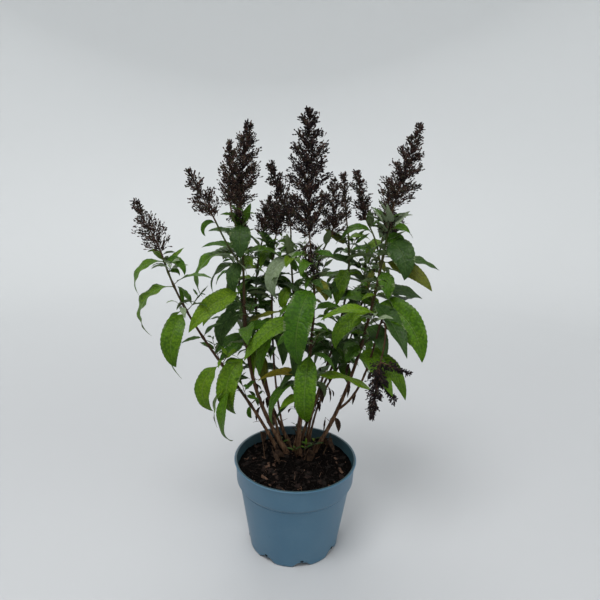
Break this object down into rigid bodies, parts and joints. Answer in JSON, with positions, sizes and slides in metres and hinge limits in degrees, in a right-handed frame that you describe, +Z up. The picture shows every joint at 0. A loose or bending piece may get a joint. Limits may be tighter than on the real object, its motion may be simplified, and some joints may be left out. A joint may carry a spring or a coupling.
{
  "type": "potted butterfly bush",
  "caption": "Young butterfly bush after flowering in a round nursery pot: thin woody stems, lance-shaped green leaves and dark spent seed heads at the tips.",
  "frame": {"origin": "centre of the pot's flat underside", "axes": "+Z up, +X to the right as seen from the front, +Y away from the front"},
  "size_m": [0.3894, 0.2458, 0.5929],
  "materials": {
    "pot_plastic": "satin thermoformed plastic, blue grey",
    "potting_soil": "dark potting mix with bark chips",
    "stem_bark": "thin brown bark",
    "leaf_green": "soft matte leaf",
    "seed_pods": "dry dark seed pods"
  },
  "bodies": {
    "root": {"pot": "pot_plastic", "soil": "potting_soil", "stem_far_left": "stem_bark", "stem_left_main": "stem_bark", "stem_left_second": "stem_bark", "stem_left_thin": "stem_bark", "stem_centre_left": "stem_bark", "stem_centre": "stem_bark", "stem_centre_right": "stem_bark", "stem_right_thin": "stem_bark", "stem_right_main": "stem_bark", "bough_lower_right": "stem_bark", "stem_rear_left": "stem_bark", "stem_rear_right": "stem_bark", "shoot_far_left": "leaf_green", "shoot_left_main": "leaf_green", "shoot_left_second": "leaf_green", "shoot_left_thin": "leaf_green", "shoot_centre_left": "leaf_green", "shoot_centre": "leaf_green", "shoot_centre_right": "leaf_green", "shoot_right_thin": "leaf_green", "shoot_right_main": "leaf_green", "shoot_lower_right": "leaf_green", "shoot_rear_left": "leaf_green", "shoot_rear_right": "leaf_green", "seed_head_far_left": "seed_pods", "seed_head_left_small": "seed_pods", "seed_head_left_side": "seed_pods", "seed_head_left_main": "seed_pods", "seed_head_back_left": "seed_pods", "seed_head_middle_left_small": "seed_pods", "seed_head_middle_left": "seed_pods", "seed_head_middle_right": "seed_pods", "seed_head_centre": "seed_pods", "seed_head_right_small": "seed_pods", "seed_head_middle_right_back": "seed_pods", "seed_head_right_main": "seed_pods", "seed_head_lower_right": "seed_pods", "seed_head_rear_left": "seed_pods", "seed_head_rear_right": "seed_pods"}
  },
  "joints": []
}
